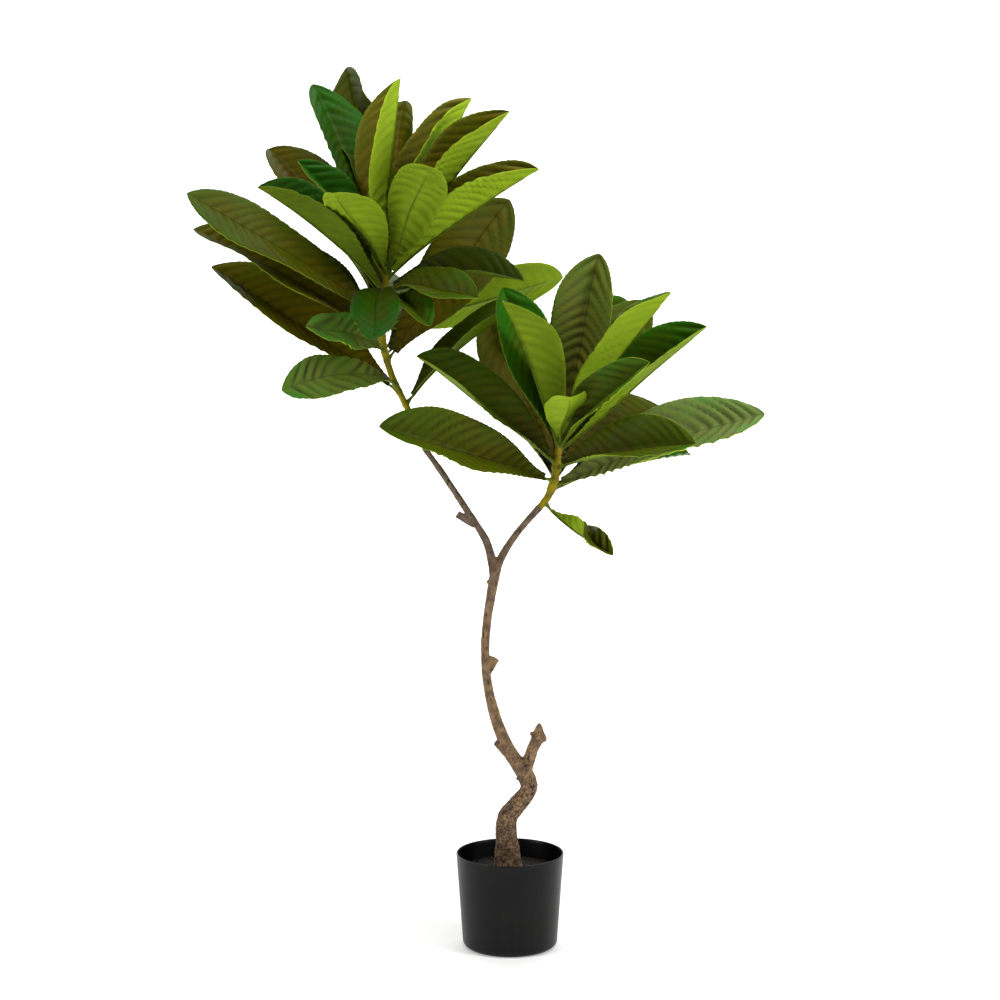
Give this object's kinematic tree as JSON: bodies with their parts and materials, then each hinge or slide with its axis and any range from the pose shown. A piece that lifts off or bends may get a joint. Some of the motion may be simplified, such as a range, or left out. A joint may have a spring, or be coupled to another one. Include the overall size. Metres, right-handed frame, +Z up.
{
  "type": "artificial potted fig tree",
  "caption": "Artificial potted tree: gnarled forked trunk, two boughs ending in rosettes of broad folded leaves, in a plain tapered round pot with a filled top.",
  "frame": {"origin": "centre of the pot's flat underside, where it stands on the floor", "axes": "+Z up through the middle of the pot; -Y is the side shown in the picture; +X is to the right in it"},
  "size_m": [0.7622, 0.4013, 1.182],
  "materials": {
    "pot": "satin black moulded plastic",
    "potting_fill": "cement with a rough skin of dark grit",
    "bark": "rough grey-brown bark",
    "leaves": "coated fabric leaves on green plastic stalks, glossy above and matt below"
  },
  "bodies": {
    "root": {"pot": "pot", "potting_fill": "potting_fill", "trunk": "bark", "left_bough": "bark", "right_bough": "bark", "left_lower_leaves": "leaves", "left_middle_leaves": "leaves", "left_upper_leaves": "leaves", "left_top_leaves": "leaves", "right_lower_leaves": "leaves", "right_middle_leaves": "leaves", "right_top_leaves": "leaves"}
  },
  "joints": []
}
